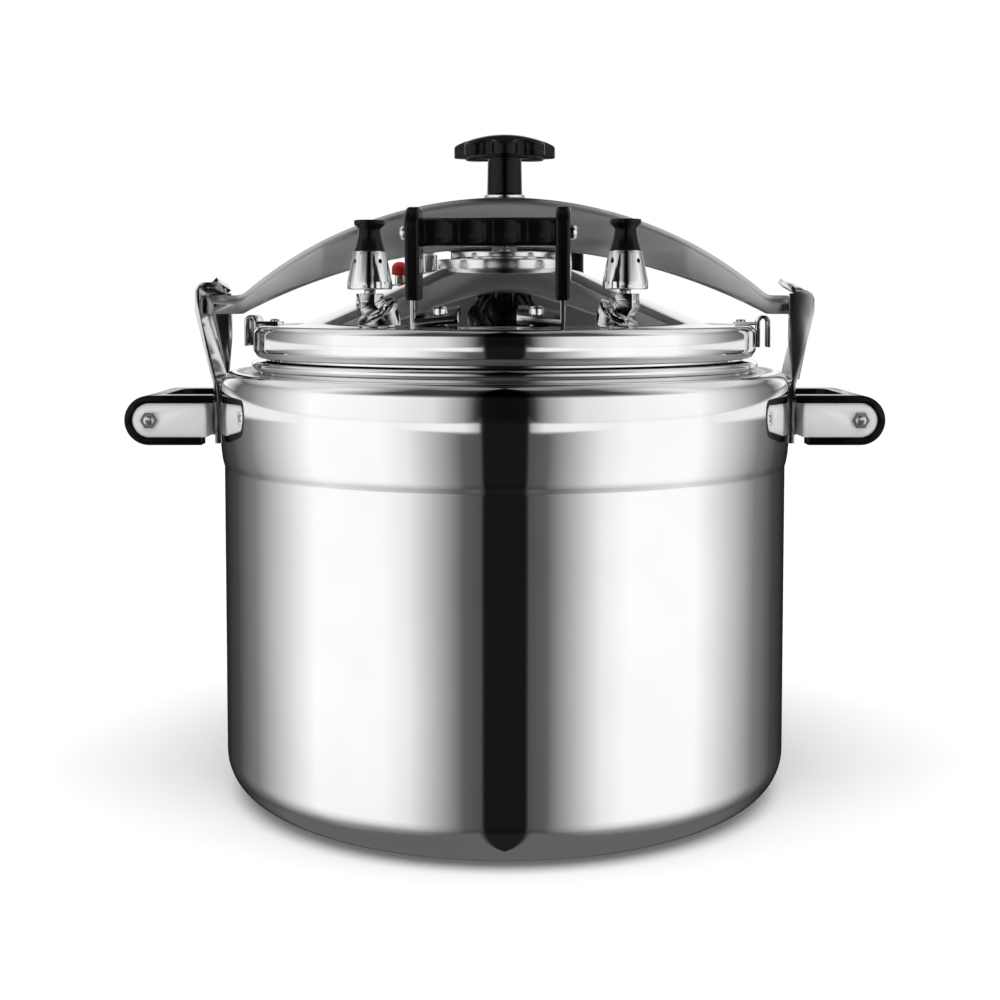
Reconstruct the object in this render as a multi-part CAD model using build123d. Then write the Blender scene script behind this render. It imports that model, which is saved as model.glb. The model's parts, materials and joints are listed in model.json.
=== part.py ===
from build123d import *
import math
import os

# A large stovetop pressure cooker whose lid is pressed down by a screw through a beam that hooks
# under two arms on the pot. Millimetres. The origin is at the centre of the base, +Z is up, the
# front is -Y, and the beam and the side handles lie along X.

# ---- Pot ----
pot_radius = 180.0              # plain wall, outside
pot_height = 268.5              # base to the top of the shoulder
pot_wall = 4.0
pot_floor = 6.0
base_round = 27.0
band_height = 56.2              # barrel-shaped band under the shoulder
band_foot_out = 1.2             # band beyond the plain wall at its foot
band_belly_out = 2.8            # and at its belly
band_belly_drop = 38.5          # belly below the shoulder
band_top_out = 0.6              # and at the shoulder
ridge_height = 4.3              # step from the plain wall to the band
shoulder_round = 9.0
shoulder_fall = 2.0             # the shoulder dips towards the neck
neck_inset = 27.0               # plain wall to the neck, both outside
neck_wall = 4.0
neck_height = 16.5              # mouth above the shoulder
bead_overhang = 9.5             # neck to the bead's outer edge
bead_thickness = 5.6
bead_lift = 0.1                 # bead's underside above the shoulder
bead_foot = 4.5                 # solid foot between the bead and the neck
mouth_round = 1.2

# ---- Lid ----
lid_yaw = -5.0                  # how far the lid is turned on the pot
gasket_space = 7.2              # mouth to the lid's underside
lid_wall = 4.3
skirt_clearance = 4.2           # neck to the skirt
skirt_wall = 4.3
skirt_gap = 2.3                 # bead to the skirt's lower edge
skirt_taper_height = 4.5
skirt_taper_depth = 2.9
rim_round = 5.0
flat_ring_width = 29.9          # rim's edge to the foot of the cone
cone_foot_round = 10.0
dome_rise = 35.5                # flat ring to the flat top
dome_top_radius = 46.0
dome_top_round = 4.0
rib_inset = 2.5                 # gasket rib inside the mouth
rib_width = 3.0
rib_height = 4.2
gasket_clearance = 0.3
gasket_round = 1.2
stub_radius = 11.0              # socket for the clamp foot at the middle of the lid
stub_height = 11.5
socket_floor = 9.1              # its floor above the flat top
boss_fit = 0.05                 # discs over the stub
boss_plate_radius = 43.5
boss_plate_height = 6.5
boss_edge = 1.2
thrust_radius = 34.0
thrust_step_radius = 28.0
thrust_step_height = 1.0
thrust_height = 4.8
thrust_edge = 1.0

# ---- Rim clips ----
clip_width = 18.0
clip_sheet = 2.0
clip_reach = 13.5               # from the rim's edge inwards over the flat ring
clip_curl_radius = 4.2
clip_stand_off = 8.7            # outer leg beyond the rim
clip_leg_drop = 14.0            # both legs' ends below the flat ring
clip_gap = 0.3                  # rim to the inner leg
clip_rivet_inset = 9.5
clip_rivet_radius = 1.8
clip_head_radius = 3.2
clip_head_height = 1.6

# ---- Fittings on the cone ----
head_rounding = 0.7             # share of a rivet's or bolt's head that is rounded
hole_fit = 0.05                 # threads in their holes
bolt_fit = 0.05                 # bolts in their holes
seal_depth = 4.7                # seal's flat face under the wall
nut_height = 5.0
valve_inset = 34.0              # from the cone's foot towards the middle
valve_bearing = 53.5            # degrees to each side of the front
pipe_radius = 3.5
pipe_hole_radius = 1.5
pipe_thread_radius = 5.0
pipe_flange_flats = 15.0
pipe_flange_height = 5.9
pipe_nut_flats = 17.0
pipe_seal_radius = 9.0
guard_radius = 8.0
guard_height = 6.8
guard_wall = 1.3
guard_slots = 6
guard_slot_width = 2.0
guard_slot_height = 2.6
pipe_end_gap = 0.8              # the pipe stops short of the guard's slots
weight_gap = 2.5                # flange to weight
weight_height = 23.5
weight_foot_radius = 13.8
weight_foot_height = 4.5
weight_top_radius = 10.0
weight_edge = 0.8
weight_bore_radius = 5.2
weight_seat_depth = 15.0        # skirt of the weight below its seat
weight_seat_gap = 0.3
weight_chamber_radius = 2.6
weight_chamber_height = 4.5
steam_holes = 4
steam_hole_radius = 1.4
spigot_radius = 4.0
spigot_height = 8.0
cap_height = 19.0
cap_foot_radius = 9.7
cap_foot_height = 1.2
cap_foot_taper = 0.5
cap_side_bulge = 0.6            # side's radius over the waist's, part of the way up
cap_side_share = 0.6
cap_waist_radius = 6.7
cap_waist_height = 13.5
cap_flare_radius = 9.6
cap_flare_height = 2.6
cap_round = 0.8
plug_inset = 53.4
plug_bearing = -111.0
plug_flats = 14.0
plug_base_height = 4.3
plug_stem_radius = 3.5
plug_stem_height = 7.8
plug_thread_radius = 5.0
plug_nut_flats = 16.0
plug_seal_radius = 8.5
red_cap_radius = 5.4
red_cap_height = 8.6
red_cap_round = 4.6
red_cap_socket = 1.4            # how far the cap goes over the stem
float_inset = 73.3
float_bearing = -115.9
float_flats = 12.0
float_base_height = 4.0
float_housing_radius = 5.0
float_housing_height = 12.0
float_edge = 1.0
float_thread_radius = 4.5
float_nut_flats = 14.0
housing_end = 1.2               # thread's end below its nut
float_seal_radius = 7.5
float_pin_radius = 2.0
float_pin_fit = 0.06
float_travel = 4.0
float_stop_gap = 0.3
float_head_radius = 3.0
float_head_height = 1.5
float_disc_radius = 3.8
float_disc_height = 1.7

# ---- Lid handles ----
handle_inset = 19.6             # from the cone's foot to the middle of the handle
handle_width = 78.0             # between the cheeks
cheek_thickness = 8.5
cheek_top_radius = 11.0
cheek_height = 54.0
cheek_foot_half = 8.0
cheek_lift = 15.8               # cheek's lower end above the flat ring
cheek_round = 2.2
leg_sheet = 2.5
leg_width = 14.0
leg_offset = 3.0                # leg's inner face beyond the cheek's inner face
leg_fit = 0.05
leg_rise = 58.5                 # leg's top above the flat ring
foot_tab_length = 27.5
foot_tab_sheet = 2.7
foot_screw_offset = 16.5        # screw to the leg's outer face
screw_radius = 2.5
screw_head_radius = 4.2
screw_head_height = 3.4
screw_nut_flats = 8.0
screw_nut_height = 4.0
grip_depth = 18.0
grip_height = 16.5
grip_round = 5.0
grip_groove_count = 4
grip_groove_pitch = 19.6
grip_groove_width = 18.2
grip_groove_depth = 1.6
grip_top_drop = 6.5             # grip's top below the cheek's top
cross_bolt_drop = 14.9
cross_bolt_radius = 3.0
cross_head_radius = 4.3
cross_head_height = 4.0

# ---- Clamping beam, screw and knob ----
beam_gap = 3.1                  # stub to the beam's underside at the middle
beam_depth = 31.4               # at the middle
beam_top_rise = 62.5            # of the top edge over the tongues
beam_under_rise = 43.1          # of the lower edge over the tongues
beam_width = 36.0
beam_sheet = 3.0
beam_round = 6.0
beam_hollow_inset = 13.5        # solid metal inside each tongue's root
beam_narrowing = 53.5           # length over which the sides draw in
tongue_length = 23.0
tongue_width = 25.0
tongue_round = 2.0
tongue_under = 2.5              # the lower edge runs on under the tongue
beam_side_round = 40.0
tongue_root_round = 12.0
nut_radius = 12.0
nut_length = 21.0
nut_flange_radius = 13.5
nut_flange_height = 2.0
nut_edge = 0.6
screw_main_radius = 8.0
screw_fit = 0.05
screw_lower_gap = 0.8           # screw's shoulder above the stub's rim, less the foot
screw_tip_radius = 5.0
screw_neck_radius = 6.0
screw_neck_drop = 1.3           # neck's foot below the knob
knob_engagement = 32.0
foot_radius = 8.2
foot_clearance = 0.4            # foot in its socket
foot_height = 5.0
foot_floor = 1.5
foot_edge = 0.8
ring_share = 0.6                # snap ring's place up the foot's bore
foot_lift = 0.3
foot_bore_fit = 0.06
ring_thickness = 1.0
ring_outer_radius = 5.8
ring_inner_radius = 4.3
ring_clearance = 0.3
knob_gap = 0.3                  # nut to knob
knob_stem_length = 23.6
knob_stem_top_radius = 10.9
knob_stem_foot_radius = 11.4
knob_lobes = 8
knob_hub_radius = 27.5
knob_lobe_radius = 8.3
knob_lobe_circle = 24.3
knob_groove_round = 4.0
knob_side_height = 7.2
knob_height = 15.0              # at the middle
knob_edge = 2.0
knob_recess_depth = 4.0
knob_recess_inner = 15.0
knob_recess_outer = 22.5

# ---- Hook arms on the pot ----
hook_gap = 0.3                  # tongue to hook
hook_half_width = 22.0
hook_ramp = 5.0                 # the hook rises this much towards its open side
hook_sheet = 3.0
hook_tip_gap = 1.5              # tongue's end to the arm
arm_reach = 7.6                 # upright part of the arm beyond the strap
hook_flange = 11.0              # flat part of the hook
hook_lip_run = 4.5
hook_lip_rise = 3.0
hook_bend = 5.5
hook_upright = 10.5             # straight part below the hook
web_sheet = 3.5
web_step = 14.0                 # height of the web's upper, straight part
web_lean = 0.6
web_inner_reach = 13.0          # closing web inwards from the arm
web_foot_gap = 6.5              # web's lower end below the shoulder
strap_sheet = 3.4
strap_gap = 0.2                 # band's belly to the strap
strap_bow = 0.7                 # the plate is flat where the strap is curved
strap_top_drop = 10.5           # strap's top below the shoulder
strap_height = 37.0
arm_lean_start = 0.8            # the arm leans out first steeply
arm_lean_height = 6.0
rivet_radius = 2.5
rivet_fit = 0.05
rivet_head_radius = 4.2
rivet_head_height = 2.2
rivet_half_spacing = 15.0
rivet_upper_drop = 25.5         # below the shoulder
rivet_lower_drop = 36.0

# ---- Side handles ----
handle_drop = 31.0              # handle's middle below the shoulder
bracket_gap = 0.2               # strap to bracket
bracket_sheet = 2.5
bracket_bend = 2.0
bracket_height = 21.4
bracket_reach = 35.4            # bolt beyond the bracket's back
bracket_half_width = 43.0
side_bolt_radius = 4.0
side_bolt_cover = 2.0           # bolt's end under the grip's inner face
side_bolt_flats = 9.6
side_bolt_flange = 1.8
side_bolt_dome_radius = 3.2
side_bolt_dome_height = 1.8
side_grip_half_width = 44.0
side_arm_thickness = 14.0
side_grip_height = 31.0
side_bar_depth = 22.0
side_grip_clearance = 0.2
finger_gap_round = 8.0
grip_overlap = 1.0              # grip's ends pass the strap's inner face
plate_recess_depth = 3.5        # recess that takes the bracket's arm
lower_rim_inset = 3.0           # the lower rim stops short of the bracket's back

# ---- Heights and radii worked out from the sizes above ----
ridge_top = pot_height - band_height
ridge_foot = ridge_top - ridge_height
neck_radius = pot_radius - neck_inset
mouth_radius = neck_radius - neck_wall
mouth_top = pot_height + neck_height
bead_top = pot_height + bead_lift + bead_thickness
under_lid = mouth_top + gasket_space
ring_top = under_lid + lid_wall
dome_top = ring_top + dome_rise
skirt_inner = neck_radius + skirt_clearance
rim_radius = skirt_inner + skirt_wall
skirt_foot = bead_top + skirt_gap
cone_foot_radius = rim_radius - flat_ring_width
rib_outer = mouth_radius - rib_inset
stub_top = dome_top + stub_height
beam_under = stub_top + beam_gap
beam_top = beam_under + beam_depth
tongue_top = beam_top - beam_top_rise
tongue_foot = beam_under - beam_under_rise
belly_radius = pot_radius + band_belly_out
strap_inner = belly_radius + strap_gap
strap_outer = strap_inner + strap_sheet
bracket_back = strap_outer + bracket_gap
hook_under = tongue_top + hook_gap
arm_inner = strap_outer + arm_reach
tongue_end = arm_inner - hook_tip_gap
tongue_root = tongue_end - tongue_length
handle_middle = pot_height - handle_drop
knob_foot = beam_top + nut_flange_height + knob_gap
knob_rim_foot = knob_foot + knob_stem_length

UPRIGHT = (Align.CENTER, Align.CENTER, Align.MIN)


def in_section(spot):
    """Point of the XZ plane from its x and z."""
    return spot[0], 0, spot[1]


def section(points, rounds=()):
    """Closed face in the XZ plane. An entry is a point, or a pair: the way through and the end of an
    arc. rounds lists x, z and radius of corners to round."""
    edges = []
    last = in_section(points[0])
    for entry in points[1:] + [points[0]]:
        if isinstance(entry[0], tuple):
            end = in_section(entry[1])
            edges.append(Edge.make_three_point_arc(last, in_section(entry[0]), end))
        else:
            end = in_section(entry)
            edges.append(Edge.make_line(last, end))
        last = end
    face = Face(Wire(edges))
    for x, z, radius in rounds:
        corner = face.vertices().sort_by_distance((x, 0, z))[0]
        face = face.fillet_2d(radius, [corner])
    return face


def turned(points, rounds=()):
    """Solid of revolution about Z."""
    return Solid.revolve(section(points, rounds), 360, Axis.Z)


def slab(face, depth):
    """Plate of an XZ face, equally thick to the front and the back."""
    return extrude(face, depth / 2, dir=(0, 1, 0), both=True)


def rod(radius, foot, top, x=0.0, y=0.0):
    return Pos(x, y, foot) * Cylinder(radius, top - foot, align=UPRIGHT)


def tube(inner, outer, foot, top, x=0.0, y=0.0):
    return rod(outer, foot, top, x, y) - rod(inner, foot, top, x, y)


def rod_x(radius, start, end, y, z):
    """Rod along X, with its ends in either order."""
    return Pos(min(start, end), y, z) * Rot(0, 90, 0) * Cylinder(radius, abs(end - start), align=UPRIGHT)


def rod_y(radius, start, end, x, z):
    """Rod along Y, with its ends in either order."""
    return Pos(x, min(start, end), z) * Rot(-90, 0, 0) * Cylinder(radius, abs(end - start), align=UPRIGHT)


def block(corner, opposite):
    """Box between two opposite corners."""
    size = [abs(opposite[i] - corner[i]) for i in range(3)]
    middle = [(opposite[i] + corner[i]) / 2 for i in range(3)]
    return Pos(*middle) * Box(*size)


def both_sides(make):
    """The pieces that make(side) gives for side 1 and side -1, as separate solids."""
    return Compound(children=[make(side).solid() for side in (1, -1)])


def rounded_end(rod_piece, axis, side, radius):
    """Rod whose end on one side is rounded."""
    rims = rod_piece.edges().filter_by(GeomType.CIRCLE).sort_by(axis)
    return fillet([rims[-1] if side > 0 else rims[0]], radius)


def hexagon(flats, foot, top, x=0.0, y=0.0):
    return Pos(x, y, foot) * extrude(RegularPolygon(flats / math.sqrt(3), 6), top - foot)


def half_turn(shape):
    return Rot(0, 0, 180) * shape


def on_lid(shape):
    return Rot(0, 0, lid_yaw) * shape


def cone_height(radius):
    """Height of the lid's outer cone at a radius."""
    share = (cone_foot_radius - radius) / (cone_foot_radius - dome_top_radius)
    return ring_top + dome_rise * share


def lid_spot(inset, bearing):
    """Place on the lid, inset from the cone's foot, at degrees from the front."""
    radius = cone_foot_radius - inset
    angle = math.radians(bearing)
    return radius * math.sin(angle), -radius * math.cos(angle)


def cone_fill(raise_by=0.0):
    """Everything under the outer surface of the lid's flat ring, cone and flat top."""
    low = under_lid - rib_height
    return turned([
        (0, low), (rim_radius, low), (rim_radius, ring_top + raise_by),
        (cone_foot_radius, ring_top + raise_by), (dome_top_radius, dome_top + raise_by),
        (0, dome_top + raise_by)])


# ---- Pot ----

def pot_shell():
    band_end = pot_radius + band_top_out
    bead_foot_radius = neck_radius + bead_foot
    bead_radius = neck_radius + bead_overhang
    bead_middle = bead_radius - bead_thickness / 2
    bead_low = bead_top - bead_thickness
    belly = pot_height - band_belly_drop
    inner = pot_radius - pot_wall
    shell = turned([
        (0, 0), (pot_radius, 0), (pot_radius, ridge_foot),
        (pot_radius + band_foot_out, ridge_top),
        ((belly_radius, belly), (band_end, pot_height)),
        (bead_foot_radius, pot_height - shoulder_fall), (bead_foot_radius, bead_low),
        (bead_middle, bead_low), ((bead_radius, bead_top - bead_thickness / 2), (bead_middle, bead_top)),
        (neck_radius, bead_top), (neck_radius, mouth_top), (mouth_radius, mouth_top),
        (mouth_radius, pot_height - shoulder_fall - pot_wall),
        (band_end - pot_wall, pot_height - pot_wall),
        ((belly_radius - pot_wall, belly), (inner + band_foot_out, ridge_top)),
        (inner, ridge_foot), (inner, pot_floor), (0, pot_floor)],
        [(pot_radius, 0, base_round), (inner, pot_floor, base_round),
         (band_end, pot_height, shoulder_round), (neck_radius, mouth_top, mouth_round)])
    for side in (0, 180):
        shell -= Rot(0, 0, side) * rivet_holes(inner - pot_wall, strap_outer)
    return shell


def rivet_spots():
    return [(y, pot_height - drop) for y in (-rivet_half_spacing, rivet_half_spacing)
            for drop in (rivet_upper_drop, rivet_lower_drop)]


def rivet_holes(start, end):
    holes = [rod_x(rivet_radius + rivet_fit, start, end, y, z) for y, z in rivet_spots()]
    return Compound(children=[hole.solid() for hole in holes])


def pot_fill():
    """Inside of the pot at the band, used to seat the rivets' inner heads."""
    inner = pot_radius - pot_wall
    belly = pot_height - band_belly_drop
    band_end = pot_radius + band_top_out
    return turned([
        (0, ridge_top), (inner + band_foot_out, ridge_top),
        ((belly_radius - pot_wall, belly), (band_end - pot_wall, pot_height - pot_wall)),
        (0, pot_height - pot_wall)])


def arm_rivets():
    """Four rivets through the pot's wall, the hook arm and the handle's bracket."""
    head_start = pot_radius - pot_wall - rivet_head_height
    outer_face = bracket_back + bracket_sheet
    fill = pot_fill()
    rivets = []
    for y, z in rivet_spots():
        inner_head = rod_x(rivet_head_radius, head_start, strap_inner, y, z) & fill
        outer_head = rod_x(rivet_head_radius, outer_face, outer_face + rivet_head_height, y, z)
        outer_head = rounded_end(outer_head, Axis.X, 1, rivet_head_height * head_rounding)
        shank = rod_x(rivet_radius, head_start + 1, outer_face + 1, y, z)
        rivets.append((inner_head + shank + outer_head).solid())
    return Compound(children=rivets)


# ---- Hook arms ----

def hook_arm():
    """Right-hand arm: a curved strap on the wall, a leaning plate and an inward hook. The hook is
    closed at the front by a web and ramps up to its open side, at the back."""
    strap_top = pot_height - strap_top_drop
    strap = turned([
        (strap_inner, strap_top - strap_height), (strap_outer, strap_top - strap_height),
        (strap_outer, strap_top), (strap_inner, strap_top)])
    strap &= block((0, -hook_half_width, strap_top - strap_height),
                   (strap_outer + 1, hook_half_width, strap_top))
    outer = arm_inner + hook_sheet
    upright = hook_under - hook_upright
    lean_x = strap_outer + arm_lean_start
    lean_z = strap_top + arm_lean_height
    flat_outer = strap_outer - strap_bow
    flat_inner = strap_inner - strap_bow
    low = strap_top - arm_lean_height
    plate_top = hook_under - hook_sheet
    plate = slab(section([
        (flat_outer, low), (flat_outer, strap_top), (lean_x, lean_z), (outer, upright), (outer, plate_top),
        (arm_inner, plate_top), (arm_inner, upright), (lean_x - hook_sheet, lean_z), (flat_inner, strap_top),
        (flat_inner, low)]), 2 * hook_half_width)
    hook_top = hook_under + hook_sheet
    flange_end = outer - hook_flange
    tip = flange_end - hook_lip_run
    hook = section([
        (outer, upright), (outer, hook_top), (flange_end, hook_top),
        (tip + hook_sheet / 2, hook_top + hook_lip_rise), (tip, hook_under + hook_lip_rise),
        (flange_end - hook_sheet / 3, hook_under), (arm_inner, hook_under), (arm_inner, upright)],
        [(outer, hook_top, hook_bend + hook_sheet / 2), (arm_inner, hook_under, hook_sheet / 2)])
    ramp = Vector(0, 2 * hook_half_width, hook_ramp)
    hook = Pos(0, -hook_half_width, 0) * extrude(hook, ramp.length, dir=ramp)
    web_inner = arm_inner - web_inner_reach
    web_outer = outer - hook_sheet / 2
    web_low = pot_height - web_foot_gap
    web = section([
        (web_inner, hook_under + 1), (web_outer, hook_under + 1), (web_outer, hook_under - web_step),
        (lean_x + web_lean, web_low), (flat_inner + 1, web_low), (web_inner, hook_under - 2 * web_step)])
    web = Pos(0, web_sheet - hook_half_width, 0) * extrude(web, web_sheet, dir=(0, -1, 0))
    arm = strap + plate + hook + web
    return arm - rivet_holes(strap_inner - 5, strap_outer + 5)


# ---- Side handles ----

def handle_bracket():
    """Steel bracket: a flat back on the strap and two arms with round ends."""
    half_height = bracket_height / 2
    low = handle_middle - half_height
    high = handle_middle + half_height
    bolt_x = bracket_back + bracket_reach
    back = block((bracket_back, -bracket_half_width, low),
                 (bracket_back + bracket_sheet, bracket_half_width, high))
    bracket = back
    for side in (1, -1):
        inner_y = side * (bracket_half_width - bracket_sheet)
        outer_y = side * bracket_half_width
        bracket += block((bracket_back, inner_y, low), (bolt_x, outer_y, high))
        bracket += rod_y(half_height, inner_y, outer_y, bolt_x, handle_middle)
    corners = bracket.edges().filter_by(Axis.Z).sort_by(Axis.X)
    outer_corners = [edge for edge in corners if abs(abs(edge.center().Y) - bracket_half_width) < 0.01
                     and edge.center().X < bracket_back + 0.1]
    bracket = fillet(outer_corners, bracket_bend)
    for side in (-1, 1):
        bracket -= rod_y(side_bolt_radius + bolt_fit, side * bracket_half_width - 5,
                         side * bracket_half_width + 5, bolt_x, handle_middle)
    return bracket - rivet_holes(bracket_back - 5, bracket_back + 5)


def grip_side_outline(inset, start):
    """Side view of the grip's arm from start to its round end, drawn in by inset."""
    half_height = side_grip_height / 2 - inset
    end_x = bracket_back + bracket_reach
    low = handle_middle - half_height
    high = handle_middle + half_height
    return section([
        (start, low), (end_x, low), ((end_x + half_height, handle_middle), (end_x, high)),
        (start, high)])


def handle_grip():
    """Moulded grip: two arms along the bracket's arms and a bar across their ends."""
    bolt_x = bracket_back + bracket_reach
    front_x = bolt_x + side_grip_height / 2
    wall_x = bracket_back + bracket_sheet + side_grip_clearance
    rim_x = strap_inner - grip_overlap
    outer = slab(grip_side_outline(0, rim_x), 2 * side_grip_half_width)
    gap_half = side_grip_half_width - side_arm_thickness
    gap_end = front_x - side_bar_depth
    finger_gap = block((rim_x - 1, -gap_half, 0), (gap_end, gap_half, mouth_top))
    corner_edges = finger_gap.edges().filter_by(Axis.Z).sort_by(Axis.X)[-2:]
    finger_gap = fillet(corner_edges, finger_gap_round)
    grip = outer - finger_gap
    half_height = bracket_height / 2 + side_grip_clearance
    recess = slab(section([
        (rim_x - 1, handle_middle - half_height), (bolt_x, handle_middle - half_height),
        ((bolt_x + half_height, handle_middle), (bolt_x, handle_middle + half_height)),
        (rim_x - 1, handle_middle + half_height)]), 2 * side_grip_half_width)
    web_half = side_grip_half_width - plate_recess_depth - side_grip_clearance
    recess -= block((0, -web_half, 0), (front_x, web_half, mouth_top))
    back_cut = block((rim_x - 1, -side_grip_half_width, handle_middle - half_height),
                     (wall_x, side_grip_half_width, handle_middle + half_height))
    lower_cut = block((rim_x - 1, -side_grip_half_width, handle_middle - side_grip_height),
                      (bracket_back + lower_rim_inset, side_grip_half_width, handle_middle))
    grip = grip - recess - back_cut - lower_cut
    for side in (-1, 1):
        grip -= rod_y(side_bolt_radius + bolt_fit, side * (gap_half - 1), side * (side_grip_half_width + 1),
                      bolt_x, handle_middle)
    return grip


def handle_bolt(side):
    """Bolt through one arm of a side handle."""
    bolt_x = bracket_back + bracket_reach
    face = side * bracket_half_width
    flange = Plane.XZ * Pos(bolt_x, handle_middle) * RegularPolygon(side_bolt_flats / math.sqrt(3), 6)
    head = Pos(0, face, 0) * extrude(flange, side_bolt_flange, dir=(0, side, 0))
    dome_top_y = face + side * (side_bolt_flange + side_bolt_dome_height)
    dome = rod_y(side_bolt_dome_radius, face, dome_top_y, bolt_x, handle_middle)
    head += rounded_end(dome, Axis.Y, side, side_bolt_dome_height * head_rounding)
    inner_end = face - side * (side_arm_thickness - side_bolt_cover)
    return head + rod_y(side_bolt_radius, inner_end, face + side, bolt_x, handle_middle)


def handle_bolts():
    return both_sides(handle_bolt)


# ---- Lid ----

def lid_gasket():
    inner = rib_outer + gasket_clearance
    outer = skirt_inner - gasket_clearance
    low = mouth_top + gasket_clearance
    high = under_lid - gasket_clearance
    return turned([(inner, low), (outer, low), (outer, high), (inner, high)],
                  [(inner, low, gasket_round), (outer, low, gasket_round)])


def lid_shell():
    under_dome = dome_top - lid_wall
    socket_radius = foot_radius + foot_clearance
    taper_top = skirt_foot + skirt_taper_height
    shell = turned([
        (0, dome_top + socket_floor), (socket_radius, dome_top + socket_floor), (socket_radius, stub_top),
        (stub_radius, stub_top), (stub_radius, dome_top), (dome_top_radius, dome_top),
        (cone_foot_radius, ring_top), (rim_radius, ring_top), (rim_radius, taper_top),
        (rim_radius - skirt_taper_depth, skirt_foot), (skirt_inner, skirt_foot), (skirt_inner, under_lid),
        (rib_outer, under_lid), (rib_outer, under_lid - rib_height),
        (rib_outer - rib_width, under_lid - rib_height), (rib_outer - rib_width, under_lid),
        (cone_foot_radius, under_lid), (dome_top_radius, under_dome), (0, under_dome)],
        [(dome_top_radius, dome_top, dome_top_round), (cone_foot_radius, ring_top, cone_foot_round),
         (rim_radius, ring_top, rim_round), (cone_foot_radius, under_lid, cone_foot_round)])
    shell -= threaded_hole(valve_inset, valve_bearing, pipe_thread_radius)
    shell -= threaded_hole(valve_inset, -valve_bearing, pipe_thread_radius)
    shell -= threaded_hole(plug_inset, plug_bearing, plug_thread_radius)
    shell -= threaded_hole(float_inset, float_bearing, float_thread_radius)
    for turn in (0, 180):
        for x in (-foot_screw_x(), foot_screw_x()):
            screw_hole = rod(screw_radius + bolt_fit, under_lid - 5, dome_top, x, -handle_radius())
            shell -= Rot(0, 0, turn) * screw_hole
        rivet_hole = rod(clip_rivet_radius, under_lid - 1, ring_top + 1, rim_radius - clip_rivet_inset, 0)
        shell -= Rot(0, 0, turn) * rivet_hole
    return on_lid(shell)


def threaded_hole(inset, bearing, radius):
    x, y = lid_spot(inset, bearing)
    return rod(radius + hole_fit, under_lid - 5, dome_top, x, y)


def boss_plate():
    foot = dome_top
    top = dome_top + boss_plate_height
    inner = stub_radius + boss_fit
    return on_lid(turned([(inner, foot), (boss_plate_radius, foot), (boss_plate_radius, top), (inner, top)],
                         [(boss_plate_radius, top, boss_edge)]))


def thrust_plate():
    foot = dome_top + boss_plate_height
    top = foot + thrust_height
    inner = stub_radius + boss_fit
    step = foot + thrust_step_height
    return on_lid(turned([
        (inner, foot), (thrust_step_radius, foot), (thrust_step_radius, step), (thrust_radius, step),
        (thrust_radius, top), (inner, top)], [(thrust_radius, top, thrust_edge)]))


def rim_clip():
    """Bent strip riveted to the flat ring: a leg down the rim, a curl above it and an outer leg."""
    sheet_top = ring_top + clip_sheet
    outer = rim_radius + clip_stand_off
    curl_x = outer - clip_curl_radius
    curl_inner = clip_curl_radius - clip_sheet
    strip = section([
        (rim_radius - clip_reach, ring_top), (rim_radius - clip_reach, sheet_top),
        (curl_x - clip_curl_radius, sheet_top),
        ((curl_x, sheet_top + clip_curl_radius), (outer, sheet_top)),
        (outer, ring_top - clip_leg_drop), (outer - clip_sheet, ring_top - clip_leg_drop),
        (outer - clip_sheet, sheet_top),
        ((curl_x, sheet_top + curl_inner), (curl_x - curl_inner, sheet_top)),
        (curl_x - curl_inner, ring_top - clip_leg_drop), (rim_radius + clip_gap, ring_top - clip_leg_drop),
        (rim_radius + clip_gap, ring_top)])
    rivet_hole = rod(clip_rivet_radius, ring_top - 1, sheet_top + 1, rim_radius - clip_rivet_inset, 0)
    return on_lid(slab(strip, clip_width) - rivet_hole)


def clip_rivets():
    x = rim_radius - clip_rivet_inset
    head_foot = ring_top + clip_sheet
    head = rod(clip_head_radius, head_foot, head_foot + clip_head_height, x, 0)
    head = rounded_end(head, Axis.Z, 1, clip_head_height * head_rounding)
    rivet = on_lid(head + rod(clip_rivet_radius, under_lid, head_foot + 0.5, x, 0))
    return Compound(children=[rivet.solid(), half_turn(rivet).solid()])


# ---- Lid handles ----

def handle_radius():
    return cone_foot_radius - handle_inset


def leg_inner_x():
    return handle_width / 2 + leg_offset


def foot_screw_x():
    return leg_inner_x() + leg_sheet - foot_screw_offset


def cross_bolt_z():
    return ring_top + cheek_lift + cheek_height - cross_bolt_drop


def handle_foot(side):
    """Steel bracket of the front handle: a leg inside the cheek and a tab on the cone."""
    y = -handle_radius()
    inner = side * leg_inner_x()
    outer = inner + side * leg_sheet
    top = ring_top + leg_rise
    half = leg_width / 2
    leg = block((inner, y - half, ring_top - 5), (outer, y + half, top - half))
    leg += rod_x(half, inner, outer, y, top - half)
    tab = block((outer - side * foot_tab_length, y - half, ring_top - 5), (outer, y + half, top))
    tab &= cone_fill(foot_tab_sheet)
    foot = leg + tab - cone_fill()
    foot -= rod_x(cross_bolt_radius + bolt_fit, inner - side * 5, outer + side * 5, y, cross_bolt_z())
    return foot - rod(screw_radius + bolt_fit, ring_top - 5, top, side * foot_screw_x(), y)


def handle_feet():
    return both_sides(handle_foot)


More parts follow.
